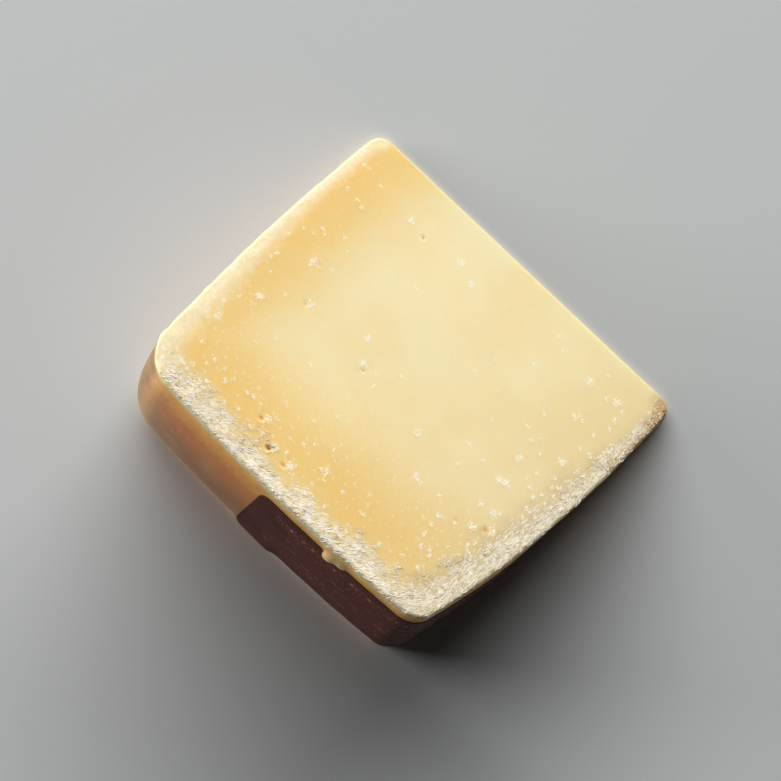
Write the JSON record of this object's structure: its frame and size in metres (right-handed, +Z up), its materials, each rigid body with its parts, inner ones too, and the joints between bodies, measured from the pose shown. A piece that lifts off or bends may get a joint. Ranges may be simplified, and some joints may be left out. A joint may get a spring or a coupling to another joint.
{
  "type": "pecorino cheese wedge",
  "caption": "Wedge of hard sheep's-milk cheese with rounded waxy rind and a paper label, lying on a cut face; food to serve, slice or grate.",
  "frame": {"origin": "under the middle of the wedge's box, on the surface that the lower cut face lies on", "axes": "+X from the thin core edge out to the rind, +Y along the axis of the wheel that the wedge was cut from, +Z up"},
  "size_m": [0.1, 0.1078, 0.0492],
  "materials": {
    "cheese": "pale cream-yellow cut cheese with a dry whitish border and a waxy amber rind",
    "label": "dark red-brown coated paper with small pale print"
  },
  "bodies": {
    "root": {"cheese_wedge": "cheese", "rind_label": "label"}
  },
  "joints": []
}
